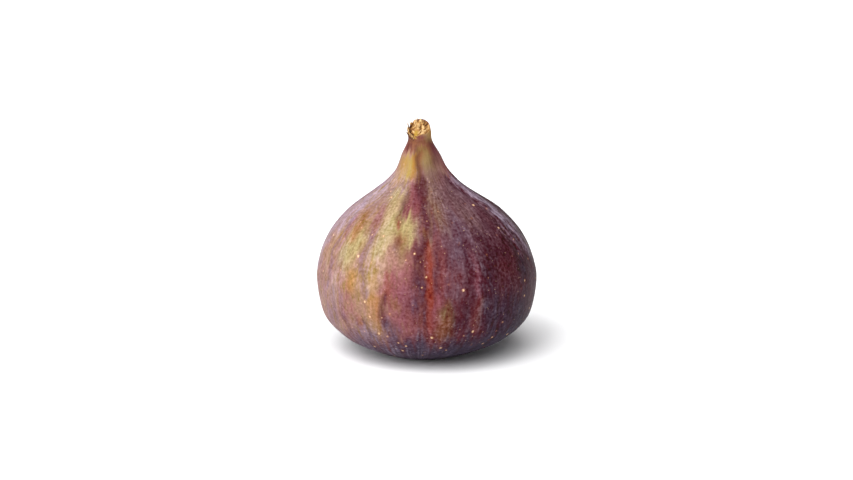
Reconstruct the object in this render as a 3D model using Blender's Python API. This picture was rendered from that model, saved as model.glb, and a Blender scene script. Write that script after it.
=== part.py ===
"""A whole fresh fig, standing on its eye end with its neck and broken stalk up.

Metres, +Z up. The origin is on the surface that the fig rests on, under the middle of the fig. The front is
-Y, and angles round the fruit are in degrees from the front, positive towards +X.

A fig grows as one body, so it is one object. It is a turned outline: a squat onion with a pressed base, a
neck and a short stalk. Furrows flute its skin, the neck leans a little, the stalk is snapped off on a slant,
and the eye is a small pit in the middle of the underside.
"""

import math

import bmesh
import bpy
from mathutils import Vector

MM = 0.001

# Driving dimensions.
FRUIT_RADIUS = 26.2 * MM
WIDEST_HEIGHT = 18.0 * MM
BASE_RADIUS = 8.5 * MM
STALK_RADIUS = 2.75 * MM
STALK_MIDDLE_HEIGHT = 53.7 * MM
EYE_RADIUS = 2.5 * MM
EYE_DEPTH = 1.2 * MM

# The outline from the pressed base to the broken stalk, as (radius, height). The belly is round, the shoulder
# slopes in under the neck, and the neck runs up into the stalk.
OUTLINE = (
    (BASE_RADIUS, 0.0),
    (11.0 * MM, 0.5 * MM),
    (15.2 * MM, 2.2 * MM),
    (20.2 * MM, 4.9 * MM),
    (24.5 * MM, 9.7 * MM),
    (FRUIT_RADIUS, WIDEST_HEIGHT),
    (25.3 * MM, 23.4 * MM),
    (22.9 * MM, 28.5 * MM),
    (19.3 * MM, 32.9 * MM),
    (15.9 * MM, 35.8 * MM),
    (11.6 * MM, 38.8 * MM),
    (8.7 * MM, 41.2 * MM),
    (6.2 * MM, 43.9 * MM),
    (4.5 * MM, 47.5 * MM),
    (2.9 * MM, 50.7 * MM),
    (STALK_RADIUS, 52.6 * MM),
    (0.9 * STALK_RADIUS, STALK_MIDDLE_HEIGHT),
)
RINGS_PER_SPAN = 2
SEGMENTS = 72

# Flat rings inside the base and on the broken end, and the wall of the eye, as (radius, height).
EYE_TO_BASE = (
    (0.0, EYE_DEPTH),
    (0.6 * EYE_RADIUS, 0.8 * EYE_DEPTH),
    (EYE_RADIUS, 0.2 * EYE_DEPTH),
    (1.5 * EYE_RADIUS, 0.0),
)
BROKEN_END = (
    (0.6 * STALK_RADIUS, STALK_MIDDLE_HEIGHT),
    (0.0, STALK_MIDDLE_HEIGHT),
)

# The main furrows between the flutes, as (angle, depth). The one at the front runs from neck to base.
FURROWS = (
    (-1, 0.50 * MM),
    (22, 0.25 * MM),
    (42, 0.35 * MM),
    (66, 0.45 * MM),
    (90, 0.30 * MM),
    (112, 0.40 * MM),
    (137, 0.30 * MM),
    (158, 0.45 * MM),
    (181, 0.30 * MM),
    (203, 0.40 * MM),
    (228, 0.30 * MM),
    (250, 0.45 * MM),
    (272, 0.30 * MM),
    (296, 0.35 * MM),
    (319, 0.40 * MM),
    (338, 0.25 * MM),
)
FURROW_HALF_WIDTH = 9.0
FURROW_FULL_FROM = 14.0 * MM
FURROW_FULL_TO = 34.0 * MM
FURROW_END = 50.0 * MM

# The middle line bends: the pressed base sits a little to the left of the belly, and the neck leans that way.
BASE_SHIFT = Vector((-0.7 * MM, 0.0, 0.0))
BASE_SHIFT_UP_TO = 7.0 * MM
LEAN_FROM = 22.0 * MM
LEAN_AT_STALK = Vector((-1.8 * MM, 0.5 * MM, 0.0))

# The stalk's broken end is tipped forwards and a touch to the left, and all above this height slants with it.
SLANT_FROM = 50.0 * MM
SLANT = 0.68
SLANT_FACES = Vector((-0.1, -0.99))


def smooth_step(low, high, value):
    """0 below low, 1 above high, and an even curve between."""
    t = min(max((value - low) / (high - low), 0.0), 1.0)
    return t * t * (3.0 - 2.0 * t)


def through(points, steps):
    """A smooth curve through the points, with this many steps between each two."""
    ends = [points[0], *points, points[-1]]
    curve = []
    for before, start, end, after in zip(ends, ends[1:], ends[2:], ends[3:]):
        for i in range(steps):
            t = i / steps
            curve.append(
                tuple(
                    b + 0.5 * t * (c - a + t * (2 * a - 5 * b + 4 * c - d + t * (3 * (b - c) + d - a)))
                    for a, b, c, d in zip(before, start, end, after)
                )
            )
    return [*curve, points[-1]]


def furrow_depth(angle, height):
    """How far the skin is drawn in at this place."""
    deepest = 0.0
    for middle, depth in FURROWS:
        apart = abs((angle - middle + 180.0) % 360.0 - 180.0)
        deepest = max(deepest, depth * (1.0 - smooth_step(0.0, FURROW_HALF_WIDTH, apart)))
    low = smooth_step(0.0, FURROW_FULL_FROM, height)
    high = 1.0 - smooth_step(FURROW_FULL_TO, FURROW_END, height)
    return deepest * low * high


def middle_line(height):
    """The sideways shift of the fig's middle line at this height."""
    low = 1.0 - smooth_step(0.0, BASE_SHIFT_UP_TO, height)
    high = max(height - LEAN_FROM, 0.0) / (STALK_MIDDLE_HEIGHT - LEAN_FROM)
    return BASE_SHIFT * low + LEAN_AT_STALK * high


def slanted(x, y, height):
    """The height of a point of the stalk once its flat end is tipped to the slant of the break."""
    share = (height - SLANT_FROM) / (STALK_MIDDLE_HEIGHT - SLANT_FROM)
    return height - SLANT * max(share, 0.0) * (x * SLANT_FACES.x + y * SLANT_FACES.y)


def turned_outline():
    """The outline spun into a closed body, with its middle line straight."""
    body = bmesh.new()
    outline = [*EYE_TO_BASE, *through(OUTLINE, RINGS_PER_SPAN), *BROKEN_END]
    corners = [body.verts.new((0.0, -radius, height)) for radius, height in outline]
    for lower, upper in zip(corners, corners[1:]):
        body.edges.new((lower, upper))
    bmesh.ops.spin(
        body,
        geom=[*body.verts, *body.edges],
        cent=(0.0, 0.0, 0.0),
        axis=(0.0, 0.0, 1.0),
        angle=2.0 * math.pi,
        steps=SEGMENTS,
        use_merge=True,
    )
    bmesh.ops.remove_doubles(body, verts=body.verts, dist=0.001 * MM)
    bmesh.ops.recalc_face_normals(body, faces=body.faces)
    return body


def grow(body):
    """Flutes the skin, slants the broken end and leans the neck."""
    for corner in body.verts:
        x, y, height = corner.co
        radius = math.hypot(x, y)
        if radius > BASE_RADIUS or height > WIDEST_HEIGHT:
            angle = math.degrees(math.atan2(x, -y))
            drawn_in = 1.0 - furrow_depth(angle, height) / max(radius, STALK_RADIUS)
            x *= drawn_in
            y *= drawn_in
        corner.co = Vector((x, y, slanted(x, y, height))) + middle_line(height)


def centre(body):
    """Puts the middle of the body's box over the origin."""
    for axis in (0, 1):
        places = [corner.co[axis] for corner in body.verts]
        middle = (min(places) + max(places)) / 2.0
        for corner in body.verts:
            corner.co[axis] -= middle


def fig_skin():
    skin = bpy.data.materials.new("fig_skin")
    skin.use_nodes = True
    shader = skin.node_tree.nodes["Principled BSDF"]
    shader.inputs["Base Color"].default_value = (0.28, 0.14, 0.12, 1.0)
    shader.inputs["Roughness"].default_value = 0.5
    shader.inputs["Metallic"].default_value = 0.0
    return skin


def fig():
    body = turned_outline()
    grow(body)
    centre(body)
    mesh = bpy.data.meshes.new("fig")
    body.to_mesh(mesh)
    body.free()
    mesh.materials.append(fig_skin())
    mesh.shade_smooth()
    mesh.set_sharp_from_angle(angle=math.radians(50.0))
    bpy.context.collection.objects.link(bpy.data.objects.new("fig", mesh))


for old in list(bpy.data.objects):
    bpy.data.objects.remove(old)
fig()
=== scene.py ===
"""A fresh fig on a white studio table: its skin, the torn end of its stalk and its eye."""

import math
import random

import bmesh
import bpy
from mathutils import Matrix, Vector, noise


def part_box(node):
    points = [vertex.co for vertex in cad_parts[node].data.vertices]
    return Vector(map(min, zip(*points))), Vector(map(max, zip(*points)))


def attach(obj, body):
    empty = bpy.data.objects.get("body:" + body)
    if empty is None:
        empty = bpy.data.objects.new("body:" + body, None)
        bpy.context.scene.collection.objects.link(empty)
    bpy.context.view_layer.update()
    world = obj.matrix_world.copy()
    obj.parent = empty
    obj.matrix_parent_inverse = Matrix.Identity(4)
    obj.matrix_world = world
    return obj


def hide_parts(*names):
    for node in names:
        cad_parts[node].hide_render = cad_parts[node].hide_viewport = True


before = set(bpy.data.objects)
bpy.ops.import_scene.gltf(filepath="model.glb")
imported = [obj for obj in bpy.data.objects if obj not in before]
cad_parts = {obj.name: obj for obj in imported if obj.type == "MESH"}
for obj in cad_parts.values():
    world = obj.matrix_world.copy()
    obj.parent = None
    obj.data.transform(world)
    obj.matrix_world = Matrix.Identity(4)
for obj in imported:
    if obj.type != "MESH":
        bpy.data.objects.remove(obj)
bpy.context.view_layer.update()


# The camera stands a little above the table and looks down on the fig, from far enough away that the
# fruit isn't stretched. Its angle is in degrees, and its places are in metres.
CAMERA_ABOVE_HORIZON = 14.0
CAMERA_DISTANCE = 0.562
AIM = Vector((0.0, 0.0, 0.0268))

eye_level = math.radians(CAMERA_ABOVE_HORIZON)
camera = bpy.data.objects.new("camera", bpy.data.cameras.new("camera"))
bpy.context.collection.objects.link(camera)
camera.data.lens = 100.0
camera.data.sensor_width = 36.0
camera.location = AIM + CAMERA_DISTANCE * Vector((0.0, -math.cos(eye_level), math.sin(eye_level)))
camera.rotation_euler = (math.radians(90.0 - CAMERA_ABOVE_HORIZON), 0.0, 0.0)
bpy.context.scene.camera = camera


# The fruit. A fig grows as one body from its eye to its stalk: a squat onion, fluted by the veins under
# its thin skin. The shape is a turned outline, with the flutes, furrows and wrinkles grown into it. Its
# sizes are in millimetres.
MM = 0.001
BASE_RADIUS = 8.5
WIDEST_HEIGHT = 18.0
FRUIT_RADIUS = 26.2
STALK_RADIUS = 2.75
STALK_HEIGHT = 53.7
TORN_RADIUS = 0.93 * STALK_RADIUS
EYE_RADIUS = 1.5
EYE_DEPTH = 2.2

# How many steps the turn has, how far apart its rings lie on the belly, the stalk and the torn end, and
# how near each other two corners are merged.
SEGMENTS = 432
BELLY_SPACING = 0.5
STALK_SPACING = 0.2
TORN_SPACING = 0.1
WELD_DISTANCE = 0.0005

# The outline as (radius, height): out of the eye over its rim, up the stalk, and in over its torn end.
EYE_WALL = (
    (0.0, EYE_DEPTH),
    (0.8, 2.15),
    (1.3, 1.7),
    (EYE_RADIUS, 1.1),
    (2.1, 0.55),
    (2.9, 0.2),
    (3.9, 0.02),
)
OUTLINE = (
    (BASE_RADIUS, 0.0),
    (11.0, 0.5),
    (15.2, 2.2),
    (20.2, 4.9),
    (24.5, 9.7),
    (FRUIT_RADIUS, WIDEST_HEIGHT),
    (25.3, 23.4),
    (22.9, 28.5),
    (19.3, 32.9),
    (15.9, 35.8),
    (11.6, 38.8),
    (8.5, 41.2),
    (6.1, 43.9),
    (4.5, 47.5),
    (2.9, 50.7),
    (STALK_RADIUS, 52.6),
    (TORN_RADIUS, STALK_HEIGHT),
)
TORN_END = ((TORN_RADIUS, STALK_HEIGHT), (0.0, STALK_HEIGHT))


def step(low, high, value):
    """0 below low, 1 above high, and an even curve between."""
    share = min(max((value - low) / (high - low), 0.0), 1.0)
    return share * share * (3.0 - 2.0 * share)


def apart(one, other):
    """How many degrees round the fruit two angles are apart."""
    return abs((one - other + 180.0) % 360.0 - 180.0)


def through(points, steps=40):
    """A smooth curve through the points, with this many steps between each two."""
    ends = [points[0], *points, points[-1]]
    curve = []
    for before, start, end, after in zip(ends, ends[1:], ends[2:], ends[3:]):
        for i in range(steps):
            t = i / steps
            curve.append(
                tuple(
                    b + 0.5 * t * (c - a + t * (2 * a - 5 * b + 4 * c - d + t * (3 * (b - c) + d - a)))
                    for a, b, c, d in zip(before, start, end, after)
                )
            )
    return [*curve, points[-1]]


def spaced(curve, belly, stalk):
    """Points of the curve that lie this far apart on the belly and on the stalk."""
    kept = [curve[0]]
    for radius, height in curve[1:-1]:
        gap = belly + (stalk - belly) * step(38.0, 50.0, height)
        if math.dist((radius, height), kept[-1]) >= gap:
            kept.append((radius, height))
    return [*kept, curve[-1]]


# A mark on the fruit is a stroke that runs up it, as its half width, its strength and then (angle,
# height) for each point from bottom to top. Angles are in degrees from the front, positive to the right.
def read(path, place):
    """The value at a place along a path of (value, place) pairs."""
    for (first, start), (last, end) in zip(path, path[1:]):
        if place <= end:
            return first + (last - first) * step(start, end, place)
    return path[-1][0]


def marked(marks, angle, height, radius):
    """The sum of the strokes over this place of the skin; each is gone at twice its half width."""
    total = 0.0
    for half_width, strength, *path in marks:
        past_end = max(path[0][1] - height, height - path[-1][1], 0.0) / half_width
        if past_end < 2.0:
            off = math.radians(apart(angle, read(path, height))) * radius / half_width
            if off < 2.0:
                total += strength * (1.0 - step(0.0, 2.0, math.hypot(off, past_end)))
    return total


# The furrows between the flutes, as (angle, depth).
FURROWS = (
    (22, 0.20),
    (42, 0.25),
    (92, 0.40),
    (118, 0.40),
    (137, 0.30),
    (158, 0.45),
    (181, 0.30),
    (203, 0.40),
    (228, 0.30),
    (250, 0.45),
    (272, 0.30),
    (290, 0.32),
    (301, 0.25),
    (319, 0.32),
    (338, 0.28),
)
# Half the width of a furrow and of the crease in its bed, in degrees. The furrows deepen between the
# first two heights and are gone between the last two.
FURROW_HALF_WIDTH = 10.0
CREASE_HALF_WIDTH = 3.5
FURROWS_DEEPEN = (2.0, 14.0)
FURROWS_END = (36.0, 50.0)
# Single folds and swellings, as strokes whose strength is their rise. The first is the long furrow down
# the front; the next two are the fold on the right shoulder and the roll of skin beyond it.
FOLDS = (
    (1.1, -0.55, (-1, 5), (-1.5, 26), (4, 34), (2, 39), (0, 42), (-10, 48)),
    (0.7, -0.45, (64, 26), (65, 33), (67, 38), (58, 42.5)),
    (1.5, 0.25, (76, 26), (77, 33), (79, 38), (72, 42)),
    (0.9, 0.28, (-21, 43), (-21, 48)),
    (2.4, 0.22, (-13, 29), (-13, 36)),
    (2.6, 0.22, (-29, 28), (-30, 37)),
    (1.0, -0.22, (-17, 30), (-20, 39)),
    (0.9, -0.20, (-38, 26), (-37, 38)),
    (0.8, -0.25, (-65, 28), (-74, 38)),
    (0.7, -0.20, (-56, 14), (-60, 27)),
    (0.7, -0.20, (-32, 8), (-37, 14)),
    (0.8, -0.20, (23, 20), (26, 31)),
    (1.0, -0.30, (6, 43), (4, 48)),
    (2.0, -0.50, (106, 37.5), (106, 39.0)),
)


def furrow(angle, height):
    """How deep the furrows are here."""
    deepest = 0.0
    for middle, depth in FURROWS:
        off = apart(angle, middle)
        if off < FURROW_HALF_WIDTH:
            valley = 0.7 * (1.0 - step(0.0, FURROW_HALF_WIDTH, off))
            crease = 0.3 * (1.0 - step(0.0, CREASE_HALF_WIDTH, off))
            deepest = max(deepest, depth * (valley + crease))
    return deepest * step(*FURROWS_DEEPEN, height) * (1.0 - step(*FURROWS_END, height))


def relief(angle, height, radius, place):
    """How far the skin stands out from the plain outline here."""
    turn = math.radians(angle)
    ring = Vector((math.cos(turn), math.sin(turn), 0.0))
    upright = Vector((0.0, 0.0, height))
    wandered = angle + 3.0 * noise.noise(2.0 * ring + upright / 12.0)
    lumps = 0.25 * noise.noise(place / 15.0 + Vector((4.0, 1.0, 7.0)))
    ribs = 0.15 * (0.35 - abs(noise.noise(9.0 * ring + upright / 26.0)))
    wrinkles = 0.08 * (0.3 - abs(noise.noise(26.0 * ring + upright / 16.0 + Vector((5.0, 5.0, 5.0)))))
    on_shoulder = step(24.0, 33.0, height) * (1.0 - step(42.0, 47.0, height))
    off_base = step(0.5, 6.0, height) * (1.0 - step(46.0, 51.0, height))
    return (
        marked(FOLDS, angle, height, radius)
        - furrow(wandered, height)
        + off_base * (lumps + ribs + wrinkles * (0.4 + 1.2 * on_shoulder))
    )


# The middle line bends. The base sits a little to the left, and the neck leans left and back.
BASE_SHIFT = Vector((-0.7, 0.0, 0.0))
BASE_SHIFT_UP_TO = 7.0
LEAN_FROM = 22.0
LEAN_AT_STALK = Vector((-1.8, 0.5, 0.0))
# The torn end is tipped forwards. Above this height the stalk slants with it.
SLANT_FROM = 50.0
SLANT = 0.68
SLANT_FACES = Vector((-0.1, -0.99))


def middle_line(height):
    """The sideways shift of the fig's middle at this height."""
    low = 1.0 - step(0.0, BASE_SHIFT_UP_TO, height)
    high = max(height - LEAN_FROM, 0.0) / (STALK_HEIGHT - LEAN_FROM)
    return BASE_SHIFT * low + LEAN_AT_STALK * high


def slanted(x, y, height):
    """A stalk point's height once its end is tipped to the slant of the break."""
    share = max(height - SLANT_FROM, 0.0) / (STALK_HEIGHT - SLANT_FROM)
    return height - SLANT * share * (x * SLANT_FACES.x + y * SLANT_FACES.y)


# How ripe the skin is round the belly and round the neck, as (ripeness, angle): 0 is green, 0.5 is rose
# brown and 1 is black purple.
BELLY_RIPENESS = (
    (0.88, -180),
    (0.82, -135),
    (0.62, -108),
    (0.31, -84),
    (0.32, -60),
    (0.25, -32),
    (0.38, -20),
    (0.50, -10),
    (0.56, 0),
    (0.64, 9),
    (0.71, 18),
    (0.78, 28),
    (0.86, 44),
    (0.86, 66),
    (0.84, 84),
    (0.88, 120),
    (0.88, 180),
)
NECK_RIPENESS = (
    (0.72, -180),
    (0.72, -130),
    (0.44, -95),
    (0.20, -70),
    (0.06, -48),
    (0.04, -19),
    (0.30, -12),
    (0.30, 2),
    (0.26, 12),
    (0.30, 28),
    (0.38, 38),
    (0.38, 55),
    (0.50, 80),
    (0.72, 140),
    (0.72, 180),
)
# What is laid over that, as strokes: skin that is greener, olive, golden, cream, rose, rusty, mauve, dark
# wine red or blue black, and thick bloom. Among them lie painted highlight and sheen on ridges and rims,
# and painted shade in folds, in the front furrow and on the right rim. Those past 90 degrees are on the
# back.
MARKS = {
    "green": (
        (2.1, 1.00, (-28, 30.5), (-28.5, 35), (-33, 38.5)),
        (1.2, 0.60, (-24, 30), (-24, 36)),
        (1.9, 1.00, (-12.5, 33.0), (-12.5, 34.8)),
        (0.9, 0.70, (-18, 33), (-18, 34.5)),
        (1.2, 0.25, (-8.5, 32.5), (-8.5, 34.5)),
        (2.4, 0.85, (-50, 28), (-48, 31)),
        (1.6, 0.40, (-44, 30), (-40, 33)),
        (1.4, 0.45, (-55, 25), (-53, 29)),
        (1.0, 0.45, (-30, 19), (-30, 25)),
        (1.3, 0.60, (60, 52.4), (60, 53.7)),
        (1.0, 0.30, (-34, 43.5), (-32, 47)),
        (1.2, 0.45, (14, 43.5), (16, 47)),
    ),
    "olive": (
        (1.5, 1.10, (8, 42.5), (8, 48.5)),
        (0.9, 0.80, (-7, 42.5), (-7, 48.5)),
        (1.2, 0.80, (27, 42.5), (28, 47)),
        (1.8, 0.70, (16, 35), (13, 40)),
        (2.4, 0.45, (38, 36), (36, 40)),
        (1.2, 0.35, (42, 42.5), (42, 46)),
        (1.7, 0.60, (9, 11), (9, 16)),
        (1.0, 0.70, (-13, 29.5), (-13, 31)),
        (1.0, 0.50, (-18, 31), (-18, 33)),
        (2.4, 0.40, (-165, 30), (-165, 36)),
    ),
    "gold": (
        (1.5, 0.80, (-27, 11.5), (-28, 18)),
        (1.0, 0.60, (-29, 18), (-29, 24)),
        (1.2, 0.75, (-43.5, 20.5), (-43, 24)),
        (1.5, 0.80, (-52, 32.0), (-52, 33.6)),
        (0.9, 0.50, (-55, 29.5), (-54, 31)),
        (1.8, 0.30, (-71, 26.5), (-69, 30)),
        (0.45, 1.10, (-18, 43.0), (-18, 48)),
        (1.2, 0.40, (-66, 43), (-62, 46)),
        (1.3, 0.35, (-48, 43), (-45, 46)),
        (0.5, 0.70, (0.5, 31), (1, 33)),
        (0.9, 0.60, (-16, 17.5), (-16, 18.5)),
        (1.6, 0.35, (-30, 50.5), (-30, 52)),
        (1.2, 0.30, (34, 50.5), (34, 52)),
        (1.3, 0.90, (90, 52), (85, 53.7)),
    ),
    "cream": (
        # The first stroke is painted highlight on the edge right of the front furrow.
        (0.35, 1.00, (2, 28.5), (5, 34), (5, 37.5)),
        (0.35, 0.80, (8, 38.5), (10.5, 41.5)),
        (0.6, 0.20, (27, 12), (28, 18)),
        (1.0, 0.60, (-34, 31), (-31, 37)),
        (1.2, 0.60, (-25, 37), (-24, 40)),
        (1.6, 0.65, (-24, 24), (-23, 30)),
        (1.1, 0.50, (-15, 25), (-15, 29)),
        (0.9, 0.65, (-56, 15), (-56, 21)),
        (0.8, 0.30, (-29, 12), (-29, 23)),
        (0.5, 0.40, (-7, 32), (-7, 36)),
        (1.0, 0.25, (-50, 43.5), (-46, 46)),
        (0.9, 0.50, (-68, 20), (-71, 30)),
    ),
    "rose": (
        (3.2, 0.75, (-15, 11), (-14, 22)),
        (1.6, 0.55, (-17, 22), (-13, 26)),
        (1.0, 0.80, (4, 13), (5, 20)),
        (0.7, 0.85, (27, 19), (27.5, 28)),
        (1.3, 0.80, (-40, 34.5), (-40, 36)),
        (1.1, 0.90, (-38, 32.5), (-38, 33.5)),
        (2.6, 0.45, (-48, 13), (-48, 19)),
        (1.0, 0.70, (-63, 31), (-64, 33.5)),
        (1.4, 0.45, (-66, 12), (-67, 20)),
        (1.1, 0.35, (-28, 13.5), (-28, 19.5)),
        (1.2, 0.55, (-15, 37.5), (-12, 41)),
        (1.4, 0.65, (-9, 37), (-8, 42)),
        (0.7, 0.50, (9, 21), (10.5, 29)),
        (1.0, 0.50, (38, 42), (40, 43)),
        (5.0, 0.60, (128, 10), (120, 24)),
        (4.0, 0.55, (-118, 12), (-122, 26)),
        (3.4, 0.60, (-150, 22), (-152, 32)),
    ),
    "rust": (
        (0.75, 1.60, (1.3, 20), (1.3, 30.5)),
        (0.7, 0.70, (1.5, 13), (1.5, 19)),
        (0.8, 0.60, (8.5, 22), (10.5, 29)),
        (1.1, 0.60, (-21, 18), (-21, 23)),
        (1.3, 0.65, (25, 12), (25.5, 18)),
        (2.0, 0.30, (42, 20), (46, 24)),
        (2.0, 0.25, (51, 20), (54, 25)),
        (1.8, 0.50, (8, 9), (9, 13)),
        (1.0, 0.60, (-16, 31.2), (-15, 32)),
        (0.6, 0.90, (-20, 34), (-20, 35)),
        (1.3, 0.40, (-52, 32), (-52, 33.6)),
        (0.8, 0.70, (-39, 12), (-38, 14)),
        (0.8, 0.60, (-4, 43.5), (-3, 48)),
        (3.2, 0.80, (150, 8), (146, 20)),
        (2.6, 0.80, (172, 16), (176, 30)),
        (3.0, 0.70, (-136, 10), (-134, 18)),
    ),
    "mauve": (
        (3.4, 0.72, (17, 22), (19, 32)),
        (3.0, 0.22, (-14, 13), (-12, 24)),
        (4.2, 0.85, (26, 32), (30, 39)),
        (3.4, 0.75, (50, 34), (50, 38)),
        (2.4, 0.60, (62, 37), (60, 40)),
        # These two strokes are a band of painted shade beside a fold on the left.
        (0.9, 0.80, (-33, 20), (-34.5, 26)),
        (0.9, 0.80, (-38, 26), (-36, 32)),
        (0.5, 0.90, (-61, 19), (-66, 29.5), (-64, 32), (-75, 36), (-80, 39)),
        (0.7, 0.70, (-57, 11), (-57, 18)),
        (0.6, 0.50, (-50, 13), (-50, 19)),
        (1.1, 0.55, (-3.5, 31), (-3.5, 36)),
        (2.0, 0.55, (-45, 7), (-40, 11)),
        (2.6, 0.75, (-68, 7), (-62, 12)),
        (2.4, 0.60, (26, 40.5), (18, 43)),
        (1.8, 0.20, (52, 42), (46, 46)),
        (2.2, 0.10, (70, 12), (72, 28)),
        (1.2, 0.60, (-50, 40.5), (-32, 41.5)),
    ),
    "wine": (
        (2.2, 0.16, (-46, 34), (-46, 38)),
        (1.6, 0.22, (-55, 34), (-60, 39)),
        # This stroke and the next follow the front furrow up to the neck: painted shade in it.
        (1.1, 1.00, (-3, 23), (-2.5, 29), (3.5, 33.5), (2, 39), (-0.5, 42)),
        (0.6, 0.40, (-1, 42), (-12, 48)),
        (0.9, 0.70, (-7, 23), (-5, 30)),
        (0.8, 0.45, (-12, 38), (-9, 41.5)),
        (0.8, 0.60, (5.5, 21), (6.5, 30)),
        (1.6, 0.70, (19, 13), (21, 19)),
        (0.9, 1.10, (22.5, 20), (26, 30)),
        (0.7, 0.60, (12.5, 26), (14, 32.5)),
        (4.5, 0.50, (42, 13), (42, 29)),
        (2.6, 0.80, (55, 27), (60, 35)),
        (1.6, 0.35, (34, 39), (30, 43)),
        # This stroke on the right rim is painted shade.
        (2.6, 1.00, (86, 8), (86, 26)),
        (1.8, 0.40, (69, 14), (70, 27)),
        (0.9, 0.30, (9, 22), (10, 28)),
        # This stroke runs in the right shoulder's fold: painted shade in it.
        (0.6, 1.10, (64, 28), (65, 33), (67, 38), (58, 42.5)),
        (0.8, 0.80, (-22, 12), (-23, 18)),
        (0.6, 0.90, (-32, 9), (-35.5, 13)),
        (0.7, 0.80, (-20, 35.5), (-19.5, 37), (-21.5, 40)),
        (0.8, 0.45, (-17, 29), (-16, 31)),
        # This stroke follows the front furrow low down: painted shade in it.
        (0.4, 0.90, (-1, 6), (-1, 22)),
        (0.6, 0.60, (-47, 9), (-50, 13)),
        (0.3, 0.70, (-55, 49.3), (-54, 50.7)),
        (0.3, 0.70, (-41, 49.0), (-40, 50.3)),
        (0.4, 0.50, (-20, 48.8), (-20, 50.4)),
        (1.3, 0.70, (50, 47), (50, 50.5)),
        (6.0, 0.60, (104, 12), (106, 30)),
        (5.0, 0.70, (-172, 14), (-168, 24)),
    ),
    "navy": (
        (1.6, 0.38, (-5, 17.5), (-4, 22)),
        (2.2, 0.15, (-11, 18), (-10, 21)),
        (2.0, 0.70, (-15, 7), (-19, 11)),
        (2.4, 0.65, (-5, 5), (-4, 8)),
        (2.4, 0.35, (20, 28), (24, 33)),
        (9.0, 0.50, (46, 5), (42, 11)),
        (4.0, 0.55, (-36, 4), (-34, 7.5)),
        (1.6, 0.50, (10, 5), (12, 8.5)),
        (3.0, 0.80, (138, 14), (136, 34)),
        (3.4, 0.90, (162, 20), (158, 36)),
        (3.4, 0.80, (-158, 10), (-160, 22)),
        (3.0, 0.80, (-130, 22), (-134, 36)),
        (2.6, 0.70, (-104, 26), (-106, 36)),
    ),
    "bloom_and_sheen": (
        # The first three strokes, on the left edge, are bloom and painted sheen.
        (3.4, 1.10, (-92, 20), (-83, 40)),
        (3.4, 1.00, (-87, 8), (-87, 26)),
        (2.4, 0.95, (-74, 32), (-76, 40)),
        (3.0, 0.35, (-56, 20), (-56, 30)),
        (3.0, 0.40, (-52, 38), (-40, 42)),
        (3.0, 0.30, (-30, 22), (-32, 32)),
        # These four strokes, on the roll beyond the right shoulder's fold and on the right rim, are bloom
        # and painted highlight.
        (1.6, 0.75, (76.5, 26), (77, 31.3), (76, 34.4), (80, 37), (79, 38.7), (74.5, 41.8)),
        (2.4, 0.20, (86, 20), (88, 38)),
        (0.4, 1.00, (72, 30), (71, 34.4), (75, 37), (74, 39), (69, 42.4)),
        (0.5, 0.80, (79, 30), (82, 38)),
        (1.2, 0.12, (28, 12), (29, 26)),
        (4.0, 0.06, (26, 28), (30, 38)),
        (3.0, 0.35, (66, 30), (76, 36)),
        (5.0, 0.50, (-62, 7), (-62, 14)),
        (5.0, 0.50, (-34, 5), (-34, 8)),
        (5.0, 0.18, (-4, 5), (4, 9)),
        (3.0, 0.22, (-76, 14), (-72, 32)),
        (4.5, 0.55, (-108, 12), (-100, 36)),
        (7.0, 0.50, (150, 20), (150, 34)),
        (3.0, 0.40, (180, 38), (180, 46)),
        (2.0, 0.35, (138, 38), (138, 45)),
        (2.0, 0.35, (-138, 38), (-138, 45)),
        (6.0, 0.40, (-150, 16), (-150, 32)),
    ),
}


def ripeness_and_low_shade(angle, height, place):
    """How ripe the skin is here, before its marks; low down it is riper, partly as painted shade."""
    on_neck = step(41.0, 44.0, height)
    grown_ripe_and_low_shade = read(BELLY_RIPENESS, angle) * (1.0 - on_neck) + read(NECK_RIPENESS, angle) * on_neck
    grown_ripe_and_low_shade += step(46.5, 50.5, height) * (0.60 - grown_ripe_and_low_shade)
    # Low down the skin is riper and darker, partly as painted shade near the table.
    grown_ripe_and_low_shade += 0.50 * (1.0 - step(2.0, 11.0, height)) * (1.0 - 0.5 * grown_ripe_and_low_shade)
    cloud = 0.10 * noise.noise(place / 9.0 + Vector((8.0, 2.0, 5.0)))
    return grown_ripe_and_low_shade + cloud * (1.0 - on_neck)


def grown_fruit():
    """The outline spun into a closed body."""
    body = bmesh.new()
    outline = [
        *spaced(through([*EYE_WALL, *OUTLINE]), BELLY_SPACING, STALK_SPACING),
        *spaced(through(TORN_END), TORN_SPACING, TORN_SPACING)[1:],
    ]
    corners = [body.verts.new((0.0, -radius, height)) for radius, height in outline]
    for lower, upper in zip(corners, corners[1:]):
        body.edges.new((lower, upper))
    bmesh.ops.spin(
        body,
        geom=[*body.verts, *body.edges],
        cent=(0.0, 0.0, 0.0),
        axis=(0.0, 0.0, 1.0),
        angle=2.0 * math.pi,
        steps=SEGMENTS,
        use_merge=True,
    )
    bmesh.ops.remove_doubles(body, verts=body.verts, dist=WELD_DISTANCE)
    bmesh.ops.recalc_face_normals(body, faces=body.faces)
    return body


# The torn end. Skin closes over its lower right as far as a pale lip; above the lip is gold tissue in
# strands, with a dark crack along its left side, a pit on its right and a smooth bead of dried sap below.
# Over the end, x runs to the right and y back up the slant, in millimetres from the middle.
LIP_HEIGHT = -2.1
LIP_SLOPE = 0.42
CRACK_RADIUS = 2.1
PIT = (1.2, 0.9)
SAP_FROM = Vector((-0.7, -1.0))
SAP_TO = Vector((-0.9, -2.2))
# Skin comes over the edge of the end between these radii, except on its left, where the bark is gone.
EDGE_SKIN = (2.33, 2.42)


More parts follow.
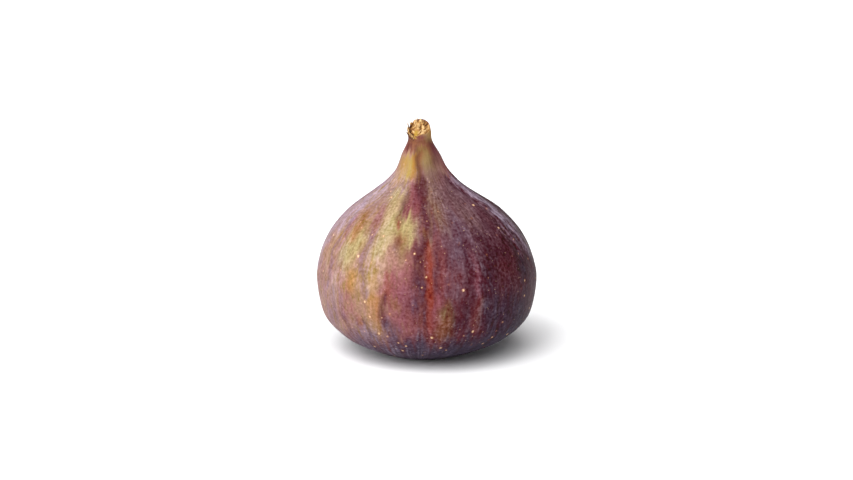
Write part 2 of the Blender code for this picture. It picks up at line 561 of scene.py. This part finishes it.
def torn_end(x, y):
    """How torn the stalk's end is here, how light, how much sap lies on it and how far it stands up."""
    place = Vector((x, y))
    radius = math.hypot(x, y)
    wobble = noise.noise(Vector((1.6 * x, 1.6 * y, 3.0)))
    over_lip = y - LIP_HEIGHT - LIP_SLOPE * x + 0.25 * wobble
    left = step(0.7, 1.5, -x)
    along, across = 0.8 * x + 0.6 * y, 0.8 * y - 0.6 * x
    strands = 0.5 - abs(noise.noise(Vector((0.5 * along, 1.7 * across, 2.0))))
    crumbs = noise.noise(Vector((1.5 * x, 1.5 * y, 9.0)))
    crack = left * (1.0 - step(0.1, 0.42, abs(radius - CRACK_RADIUS + 0.15 * wobble)))
    crack = max(crack, 0.7 * (1.0 - step(0.15, 0.5, math.dist((x, y), PIT))))
    sap_run = SAP_TO - SAP_FROM
    down_sap = min(max((place - SAP_FROM).dot(sap_run) / sap_run.length_squared, 0.0), 1.0)
    sap = 1.0 - step(0.2, 0.65, (place - SAP_FROM.lerp(SAP_TO, down_sap)).length)
    rough = 1.0 - 0.8 * sap
    is_torn = step(-0.08, 0.08, over_lip) * (1.0 - step(*EDGE_SKIN, radius) * (1.0 - left))
    lip = (1.0 - step(0.0, 0.35, abs(over_lip - 0.12))) * (1.0 - left)
    # The tissue is lighter on raised strands and crumbs and darker in the crack and pit: painted
    # highlight and shade.
    light = 0.58 + rough * (0.7 * (strands - 0.35) + 0.5 * crumbs) - 0.5 * crack
    light -= 0.15 * step(0.8, 2.2, x)
    lift = is_torn * (rough * (0.5 * (strands - 0.3) + 0.35 * crumbs) - 0.6 * crack) + 0.15 * lip
    lift -= 0.35 * min(max(-over_lip, 0.0), 2.0) ** 1.5
    return is_torn, light, sap, lift


fruit = grown_fruit()
growth = fruit.verts.layers.float_vector.new("growth")
# The skin's colour reads these from its mesh: the marks, how ripe it is, how wild or calm its pattern is,
# and how torn, how light and how wet with sap its broken end is.
names = (*MARKS, "ripe_and_low_shade", "wild", "calm", "torn", "light", "sap")
layers = {name: fruit.verts.layers.float.new(name) for name in names}
for corner in fruit.verts:
    x, y, height = corner.co
    radius = math.hypot(x, y)
    angle = math.degrees(math.atan2(x, -y))
    turn = math.radians(angle)
    grown = Vector((FRUIT_RADIUS * math.cos(turn), FRUIT_RADIUS * math.sin(turn), height - 0.6 * radius))
    # The edges of the marks waver: up the skin in long fingers, and a little round it.
    column = Vector((grown.x, grown.y, 0.1 * grown.z))
    fingers = 2.2 * noise.noise(column / 1.8) + 1.0 * noise.noise(column / 0.8 + Vector((3.0, 3.0, 3.0)))
    sway = 0.8 * noise.noise(corner.co / 4.0) + 0.25 * noise.noise(corner.co / 1.3)
    warped_angle = (angle + math.degrees(sway / max(radius, 4.0)) + 180.0) % 360.0 - 180.0
    reach = 1.0 - 0.8 * step(39.0, 43.0, height) + 0.3 * step(45.0, 48.0, height)
    warped_height = height + fingers * reach
    corner[growth] = grown
    for name, marks in MARKS.items():
        corner[layers[name]] = marked(marks, warped_angle, warped_height, radius)
    corner[layers["ripe_and_low_shade"]] = ripeness_and_low_shade(warped_angle, warped_height, corner.co)
    # Low down the skin is darker, partly as painted shade near the table, with a little bloom.
    corner[layers["navy"]] += 0.9 * (1.0 - step(1.0, 11.0, warped_height))
    corner[layers["bloom_and_sheen"]] += 0.15 * (1.0 - step(0.0, 7.0, warped_height))
    # The pattern is calm on the front of the neck, and wildest at the back.
    corner[layers["calm"]] = step(42.0, 45.0, height) * (1.0 - 0.8 * step(80.0, 130.0, apart(angle, 0.0)))
    corner[layers["wild"]] = 0.30 + 0.70 * step(70.0, 130.0, apart(angle, 0.0))
    # The pressed base stays plain, and is brown round the eye.
    if radius > BASE_RADIUS or height > WIDEST_HEIGHT:
        stands_out = 1.0 + relief(angle, height, radius, corner.co) / max(radius, STALK_RADIUS)
        x *= stands_out
        y *= stands_out
    elif radius < 0.9 * BASE_RADIUS:
        corner[layers["rust"]] += 0.7 * (1.0 - step(3.0, 7.0, radius))
    is_torn, light, sap, lift = torn_end(x, y)
    on_end = step(STALK_HEIGHT - 0.9, STALK_HEIGHT - 0.2, height)
    ragged_height = height + 0.2 * noise.noise(corner.co)
    on_side = step(STALK_HEIGHT - 0.7, STALK_HEIGHT - 0.5, ragged_height) * step(0.3, 1.2, -x)
    corner[layers["torn"]] = is_torn if height > STALK_HEIGHT - 0.001 else on_side
    corner[layers["light"]] = light
    corner[layers["sap"]] = sap
    height = max(height + on_end * lift, 0.0)
    corner.co = (Vector((x, y, slanted(x, y, height))) + middle_line(height)) * MM

# The skin's box has its middle where the plain fig's has it, and the skin rests at the same level.
low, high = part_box("fig")
middle = (low + high) / 2.0
to_middle = Vector((0.0, 0.0, low.z))
for axis in (0, 1):
    places = [corner.co[axis] for corner in fruit.verts]
    to_middle[axis] = middle[axis] - (min(places) + max(places)) / 2.0
bmesh.ops.translate(fruit, verts=fruit.verts, vec=to_middle)
skin_mesh = bpy.data.meshes.new("fig_skin")
fruit.to_mesh(skin_mesh)
fruit.free()
skin_mesh.shade_smooth()
skin = bpy.data.objects.new("fig_skin", skin_mesh)
bpy.context.collection.objects.link(skin)


# The skin's colour: green where unripe, rose and brick red where the flesh shows through, black purple
# where ripe. Over that lie pale pores, a fine grain and a thin lavender bloom of wax, with painted
# highlight and sheen on rims and ridges, and painted shade in folds, on the right rim and low down.
class Field:
    """A value or colour over a surface: a material's socket, whose arithmetic adds the nodes it needs."""

    def __init__(self, tree, socket=None):
        self.tree = tree
        self.socket = socket

    def node(self, kind, settings=None, inputs=None, output=0):
        """A new node: its settings first, then the values or links of its sockets."""
        made = self.tree.nodes.new(kind)
        for name, value in (settings or {}).items():
            if name == "stops":
                for stop, (position, shade) in enumerate(value):
                    while len(made.color_ramp.elements) <= stop:
                        made.color_ramp.elements.new(1.0)
                    made.color_ramp.elements[stop].position = position
                    made.color_ramp.elements[stop].color = shade
            else:
                setattr(made, name, value)
        for name, value in (inputs or {}).items():
            if isinstance(value, Field):
                self.tree.links.new(value.socket, made.inputs[name])
            else:
                made.inputs[name].default_value = value
        return Field(self.tree, made.outputs[output])

    def math(self, operation, *values, clamp=False):
        """What a Math node makes of these values."""
        settings = {"operation": operation, "use_clamp": clamp}
        return self.node("ShaderNodeMath", settings, dict(enumerate(values)))

    def vector_math(self, operation, *values):
        """What a Vector Math node makes of these colours or places."""
        return self.node("ShaderNodeVectorMath", {"operation": operation}, dict(enumerate(values)))

    def __add__(self, other):
        return self.math("ADD", self, other)

    def __sub__(self, other):
        return self.math("SUBTRACT", self, other)

    def __rsub__(self, other):
        return self.math("SUBTRACT", other, self)

    def __mul__(self, other):
        return self.math("MULTIPLY", self, other)

    __radd__ = __add__
    __rmul__ = __mul__

    def held(self):
        """The value kept between 0 and 1."""
        return self.math("ADD", self, 0.0, clamp=True)

    def between(self, low, high):
        """0 at low, 1 at high, and an even curve between; low may be the larger."""
        inputs = {"Value": self, "From Min": low, "From Max": high}
        return self.node("ShaderNodeMapRange", {"interpolation_type": "SMOOTHSTEP"}, inputs)

    def towards(self, other, share):
        """This colour, mixed towards another."""
        # The sockets of a Mix node share their names. By number, 0 is the share, 6 and 7 the two colours.
        return self.node("ShaderNodeMix", {"data_type": "RGBA"}, {0: share, 6: self, 7: other}, output=2)

    def plus(self, amount):
        """This colour with as much white light added, or taken away but not below nearly black."""
        nearly_black = (0.004, 0.004, 0.004)
        return self.vector_math("MAXIMUM", self.vector_math("ADD", self, amount), nearly_black)

    def scaled(self, amount):
        """This colour or place, times an amount."""
        return self.node("ShaderNodeVectorMath", {"operation": "SCALE"}, {0: self, "Scale": amount})


def colour(red, green, blue):
    """A colour given in the 0 to 255 of a screen, as the light that it reflects."""
    light = []
    for part in (red / 255.0, green / 255.0, blue / 255.0):
        light.append(part / 12.92 if part <= 0.04045 else ((part + 0.055) / 1.055) ** 2.4)
    return (*light, 1.0)


def cloudy(field, where, size, detail=2.0, roughness=0.5):
    """Noise whose lumps are this big, in the units of where, from about 0.2 to 0.8."""
    inputs = {"Vector": where, "Scale": 1.0 / size, "Detail": detail, "Roughness": roughness}
    return field.node("ShaderNodeTexNoise", None, inputs)


def finish(material, shown, roughness, height, constants):
    """Joins a colour, a roughness and a height in millimetres to a material, with its plain values."""
    field = Field(material.node_tree)
    bump = field.node("ShaderNodeBump", None, {"Strength": 1.0, "Distance": MM, "Height": height})
    shader = material.node_tree.nodes["Principled BSDF"]
    for name, value in (("Base Color", shown), ("Roughness", roughness), ("Normal", bump)):
        material.node_tree.links.new(value.socket, shader.inputs[name])
    for name, value in constants.items():
        shader.inputs[name].default_value = value


# Bare skin from unripe to ripe, and then each mark's colour with the share that it covers at full.
RIPE_COLOURS = (
    (0.00, colour(150, 124, 58)),
    (0.14, colour(146, 118, 78)),
    (0.28, colour(142, 110, 93)),
    (0.40, colour(128, 88, 80)),
    (0.50, colour(112, 66, 65)),
    (0.60, colour(94, 50, 53)),
    (0.70, colour(78, 41, 48)),
    (0.80, colour(61, 33, 40)),
    (0.90, colour(50, 31, 40)),
    (1.00, colour(42, 30, 41)),
)
MARK_COLOURS = {
    "green": (colour(152, 139, 93), 0.8),
    "olive": (colour(114, 93, 54), 0.8),
    "gold": (colour(150, 108, 50), 0.85),
    "cream": (colour(160, 132, 108), 0.65),
    "rose": (colour(118, 63, 71), 0.7),
    "rust": (colour(110, 46, 34), 0.85),
    "mauve": (colour(104, 75, 83), 0.7),
    "wine": (colour(68, 31, 38), 0.8),
    "navy": (colour(52, 43, 60), 0.8),
}
BLOOM_AND_SHEEN = colour(152, 136, 152)
PORE = colour(206, 172, 136)
PORE_RING = colour(160, 98, 66)
PORE_SPACING = 2.4 * MM
SPECK_SPACING = 0.9 * MM
SAP = colour(150, 118, 40)

skin_material = bpy.data.materials.new("fig_skin_finish")
skin_material.use_nodes = True
surface = Field(skin_material.node_tree)
grown = surface.node("ShaderNodeAttribute", {"attribute_name": "growth"}, output="Vector")
mark = {}
for name in layers:
    mark[name] = surface.node("ShaderNodeAttribute", {"attribute_name": name}, output="Fac")
solid = surface.node("ShaderNodeTexCoord", output="Object")
# Streaks follow the growth of the fruit: they are long up it and narrow round it.
stretched = surface.vector_math("MULTIPLY", grown, (1.0, 1.0, 0.28))
broad_streaks = cloudy(surface, stretched, 3.0, detail=4.0, roughness=0.6) - 0.5
fine_streaks = cloudy(surface, stretched, 0.85) - 0.5
mottle = cloudy(surface, solid, 1.7 * MM, detail=3.0, roughness=0.6) - 0.5
grain = cloudy(surface, solid, 0.6 * MM, detail=1.0) - 0.5
# Thin curled lines, for painted glints where the skin's fine wrinkles catch the light.
curled = {"Vector": solid, "Scale": 1.0 / (1.1 * MM), "Detail": 2.0, "Distortion": 0.8}
wrinkle_lines = surface.node("ShaderNodeTexNoise", None, curled)
wrinkle_glints = (0.03 - surface.math("ABSOLUTE", wrinkle_lines - 0.5)).between(0.0, 0.03)
# Flecks and pores are fainter where the skin is calm.
lively = 1.0 - 0.8 * mark["calm"]
uneven = lively * (1.2 * fine_streaks + 0.35 * mottle + 0.2 * grain)

ripened_and_shaded = mark["ripe_and_low_shade"] + mark["wild"] * (0.7 * broad_streaks + 0.5 * fine_streaks) + 0.25 * uneven
shown = surface.node("ShaderNodeValToRGB", {"stops": RIPE_COLOURS}, {"Fac": ripened_and_shaded.held()})
for name, (over, share) in MARK_COLOURS.items():
    shown = shown.towards(over, (mark[name] * (1.0 + 2.0 * uneven)).held() * share)

# Pores: a few plain ones, each with a warm ring, and many faint ones.
nudged = surface.vector_math("ADD", solid, cloudy(surface, solid, 0.3 * MM, detail=1.0).scaled(0.35 * MM))
pore_cell = {"Vector": nudged, "Scale": 1.0 / PORE_SPACING}
pore_far = surface.node("ShaderNodeTexVoronoi", None, pore_cell)
pore_size = surface.node("ShaderNodeTexVoronoi", None, pore_cell, output="Color").between(0.1, 0.85)
pores = (0.02 + 0.13 * pore_size - pore_far).between(0.0, 0.06)
rings = (0.06 + 0.18 * pore_size - pore_far).between(0.0, 0.12)
speck_cell = {"Vector": nudged, "Scale": 1.0 / SPECK_SPACING}
speck_far = surface.node("ShaderNodeTexVoronoi", None, speck_cell)
speck_size = surface.node("ShaderNodeTexVoronoi", None, speck_cell, output="Color").between(0.25, 0.9)
specks = (0.04 + 0.17 * speck_size - speck_far).between(0.0, 0.12)
pale = pores * (0.35 + 0.6 * pore_size) + specks * 0.35
shown = shown.towards(PORE_RING, lively * rings * 0.35)
shown = shown.towards(PORE, (lively * pale).held())

# Bloom lies in streaks, and nowhere on the torn end. On the left edge and the right shoulder's roll
# it is partly painted sheen and highlight.
bloom_and_sheen_amount = mark["bloom_and_sheen"] * (0.6 + 2.6 * fine_streaks) - 0.05 + 0.25 * mottle + 0.3 * grain + 0.2 * fine_streaks
bloom_and_sheen_share = bloom_and_sheen_amount.held() * (1.0 - mark["torn"])
shown = shown.towards(BLOOM_AND_SHEEN, bloom_and_sheen_share * 0.65)
# Light and dark flecks, all of one hue, and wrinkles that catch the light.
flecks = lively * (1.05 * grain + 0.8 * fine_streaks + 0.6 * mottle + 0.07 * wrinkle_glints - 0.03)
shown = shown.scaled(0.96 + 0.75 * flecks).plus(0.040 * flecks - 0.004)

# The torn end runs from brown in its cracks, partly painted shade, through gold to cream with yellow
# brown sap.
tissue_colours = (
    (0.10, colour(74, 44, 24)),
    (0.32, colour(120, 80, 42)),
    (0.52, colour(164, 124, 74)),
    (0.85, colour(210, 176, 126)),
)
tissue = mark["light"] + 0.9 * (cloudy(surface, solid, 0.5 * MM, roughness=0.7) - 0.5)
torn_colour = surface.node("ShaderNodeValToRGB", {"stops": tissue_colours}, {"Fac": tissue.held()})
torn_colour = torn_colour.towards(SAP, mark["sap"] * 0.8)
shown = shown.towards(torn_colour, mark["torn"])

skin_roughness = 0.50 + 0.25 * mottle + 0.15 * bloom_and_sheen_share
skin_height = 0.06 * pores + 0.02 * specks + 0.05 * grain + 0.05 * mottle + 0.10 * mark["torn"] * tissue
finish(skin_material, shown, skin_roughness, skin_height, {"Specular IOR Level": 0.05})
skin_mesh.materials.append(skin_material)
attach(skin, "root")
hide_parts("fig")


# The torn fibres. The stalk was snapped off its twig, so its strands stand ragged along the left of the
# break, brown where the bark tore and gold inside, and short ends of them lie over the torn tissue.
BARK_FIBRES = 48
LOOSE_FIBRES = 44
BARK_LIGHTNESS = (0.0, 0.1, 0.3, 0.6, 0.8)

chance = random.Random(11)
fibres = bmesh.new()
fibre_light = fibres.verts.layers.float.new("light")


def fibre(root, direction, length, thickness, light):
    """A strand that tapers from its root to its tip, in millimetres on the stalk before it is slanted."""
    turned = direction.to_track_quat("Z", "Y").to_matrix().to_4x4()
    place = Matrix.Translation(root + direction.normalized() * length / 2.0) @ turned
    made = bmesh.ops.create_cone(
        fibres,
        cap_ends=True,
        segments=6,
        radius1=thickness,
        radius2=0.3 * thickness,
        depth=length,
        matrix=place,
    )
    for corner in made["verts"]:
        corner[fibre_light] = light


for _ in range(BARK_FIBRES):
    turn = math.radians(chance.uniform(-128.0, -22.0))
    radius = chance.uniform(2.35, 2.65)
    outward = Vector((math.sin(turn), -math.cos(turn), 0.0))
    root = radius * outward + Vector((0.0, 0.0, STALK_HEIGHT - chance.uniform(1.1, 1.7)))
    lean = Vector((chance.uniform(-0.12, 0.12), chance.uniform(-0.12, 0.12), 1.0))
    lean += outward * chance.uniform(0.05, 0.4)
    fibre(root, lean, chance.uniform(1.1, 2.0), chance.uniform(0.10, 0.20), chance.choice(BARK_LIGHTNESS))
for _ in range(LOOSE_FIBRES):
    x, y = chance.uniform(-2.0, 1.9), chance.uniform(-1.6, 2.0)
    is_torn, light, sap, lift = torn_end(x, y)
    if is_torn > 0.9 and math.hypot(x, y) < 2.0 and sap < 0.2:
        root = Vector((x, y, STALK_HEIGHT + lift - 0.1))
        right = 0.8 + chance.uniform(-0.7, 0.4)
        back = 0.6 + chance.uniform(-0.5, 0.5)
        lean = Vector((right, back, chance.uniform(0.2, 0.6)))
        length = chance.uniform(0.5, 1.1)
        thickness = chance.uniform(0.06, 0.13)
        fibre(root, lean, length, thickness, light + chance.uniform(-0.1, 0.4))
for corner in fibres.verts:
    x, y, height = corner.co
    corner.co = (Vector((x, y, slanted(x, y, height))) + middle_line(height)) * MM + to_middle
bmesh.ops.recalc_face_normals(fibres, faces=fibres.faces)
fibre_mesh = bpy.data.meshes.new("stalk_fibres")
fibres.to_mesh(fibre_mesh)
fibres.free()
fibre_mesh.shade_smooth()
stalk_fibres = bpy.data.objects.new("stalk_fibres", fibre_mesh)
bpy.context.collection.objects.link(stalk_fibres)

fibre_material = bpy.data.materials.new("torn_fibre")
fibre_material.use_nodes = True
surface = Field(fibre_material.node_tree)
solid = surface.node("ShaderNodeTexCoord", output="Object")
drawn_out = surface.vector_math("MULTIPLY", solid, (1.0, 1.0, 0.2))
strands = cloudy(surface, drawn_out, 0.12 * MM, roughness=0.6) - 0.5
blotches = cloudy(surface, solid, 0.7 * MM) - 0.5
fibre_colours = (
    (0.00, colour(70, 40, 26)),
    (0.35, colour(112, 72, 38)),
    (0.60, colour(160, 120, 70)),
    (1.00, colour(204, 174, 126)),
)
lightness = surface.node("ShaderNodeAttribute", {"attribute_name": "light"}, output="Fac")
paleness = lightness + 0.8 * strands + 0.6 * blotches
shown = surface.node("ShaderNodeValToRGB", {"stops": fibre_colours}, {"Fac": paleness.held()})
finish(fibre_material, shown, 0.6 + 0.3 * blotches, 0.05 * strands, {"Specular IOR Level": 0.15})
fibre_mesh.materials.append(fibre_material)
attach(stalk_fibres, "root")


# The scales of the eye. A fig's eye is closed by two rings of small tough leaves that grow out of its rim
# and lean in over the hole, one over the other; they are rust red at the root and dry to a cream tip.

# A scale's thickness as a share of its width. Then, for each ring, how many scales it has, the radius and
# height of their roots, their half width and their climb towards the tip.
SCALE_THICKNESS = 0.32
SCALE_RINGS = (
    (15, 2.5, 0.72, 0.44, 0.03),
    (11, 2.2, 1.05, 0.42, 0.10),
)

scales = bmesh.new()
towards_tip = scales.verts.layers.float.new("tip")
for count, rim, height, half_width, climb in SCALE_RINGS:
    for i in range(count):
        turn = 2.0 * math.pi * (i + chance.uniform(-0.2, 0.2)) / count
        outward = Vector((math.sin(turn), -math.cos(turn), 0.0))
        inward = (Vector((0.0, 0.0, climb + chance.uniform(-0.06, 0.06))) - outward).normalized()
        sideways = Vector((0.0, 0.0, 1.0)).cross(inward).normalized()
        length = chance.uniform(0.78, 0.90) * rim
        wide = chance.uniform(0.75, 1.2) * half_width
        turned = Matrix((sideways, inward.cross(sideways), inward)).transposed().to_4x4()
        root = rim * outward + Vector((0.0, 0.0, height))
        place = Matrix.Translation(root + inward * length / 2.0) @ turned
        made = bmesh.ops.create_cone(
            scales,
            cap_ends=True,
            segments=10,
            radius1=wide,
            radius2=0.2 * wide,
            depth=length,
            matrix=place @ Matrix.Diagonal((1.0, SCALE_THICKNESS, 1.0, 1.0)),
        )
        for corner in made["verts"]:
            corner[towards_tip] = (corner.co - rim * outward).dot(inward) / length
for corner in scales.verts:
    corner.co = (corner.co + middle_line(0.0)) * MM + to_middle
bmesh.ops.recalc_face_normals(scales, faces=scales.faces)
scale_mesh = bpy.data.meshes.new("eye_scales")
scales.to_mesh(scale_mesh)
scales.free()
scale_mesh.shade_smooth()
eye_scales = bpy.data.objects.new("eye_scales", scale_mesh)
bpy.context.collection.objects.link(eye_scales)

scale_material = bpy.data.materials.new("dry_scale")
scale_material.use_nodes = True
surface = Field(scale_material.node_tree)
solid = surface.node("ShaderNodeTexCoord", output="Object")
blotches = cloudy(surface, solid, 0.5 * MM, detail=3.0, roughness=0.6) - 0.5
veins = cloudy(surface, solid, 0.15 * MM, detail=1.0) - 0.5
tip = surface.node("ShaderNodeAttribute", {"attribute_name": "tip"}, output="Fac")
dryness = tip + 1.2 * blotches + 0.5 * veins
scale_colours = (
    (0.15, colour(74, 32, 34)),
    (0.50, colour(118, 60, 44)),
    (0.80, colour(160, 116, 74)),
    (1.00, colour(190, 156, 112)),
)
shown = surface.node("ShaderNodeValToRGB", {"stops": scale_colours}, {"Fac": dryness.held()})
scale_height = 0.04 * blotches + 0.02 * veins
finish(scale_material, shown, 0.55 + 0.3 * blotches, scale_height, {"Specular IOR Level": 0.2})
scale_mesh.materials.append(scale_material)
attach(eye_scales, "root")


# The studio: a white table, and wide soft lights at the front, at the left and overhead, in a room whose
# far walls are white. The table's size is in metres.
TABLE_SIZE = 6.0
table = bmesh.new()
bmesh.ops.create_grid(table, x_segments=1, y_segments=1, size=TABLE_SIZE / 2.0)
table_mesh = bpy.data.meshes.new("table")
table.to_mesh(table_mesh)
table.free()
floor = bpy.data.objects.new("table", table_mesh)
bpy.context.collection.objects.link(floor)

table_material = bpy.data.materials.new("white_table")
table_material.use_nodes = True
white = table_material.node_tree.nodes["Principled BSDF"]
white.inputs["Base Color"].default_value = (0.9, 0.9, 0.91, 1.0)
white.inputs["Roughness"].default_value = 0.8
table_mesh.materials.append(table_material)


def soft_light(name, round_from_front, above_table, width, power):
    """A soft light far off in this direction that looks this many degrees wide from the fig."""
    turn, climb = math.radians(round_from_front), math.radians(above_table)
    place = Vector((math.cos(climb) * math.sin(turn), -math.cos(climb) * math.cos(turn), math.sin(climb)))
    light = bpy.data.lights.new(name, "SUN")
    light.angle = math.radians(width)
    light.energy = power
    lamp = bpy.data.objects.new(name, light)
    lamp.location = place
    lamp.rotation_euler = place.to_track_quat("Z", "Y").to_euler()
    bpy.context.collection.objects.link(lamp)


soft_light("front_light", round_from_front=0.0, above_table=50.0, width=50.0, power=2.3)
soft_light("left_light", round_from_front=-48.0, above_table=38.0, width=60.0, power=2.7)
soft_light("top_light", round_from_front=-70.0, above_table=75.0, width=60.0, power=1.35)

room = bpy.data.worlds.new("room")
room.use_nodes = True
air = Field(room.node_tree)
direction = air.node("ShaderNodeTexCoord", output="Generated")
upwards = air.node("ShaderNodeSeparateXYZ", None, {"Vector": direction}, output="Z")
background = room.node_tree.nodes["Background"]
brightness = 0.15 + 0.75 * upwards.between(0.35, 0.0)
room.node_tree.links.new(brightness.socket, background.inputs["Strength"])
background.inputs["Color"].default_value = (1.0, 1.0, 1.0, 1.0)
bpy.context.scene.world = room
bpy.context.scene.view_settings.view_transform = "Standard"
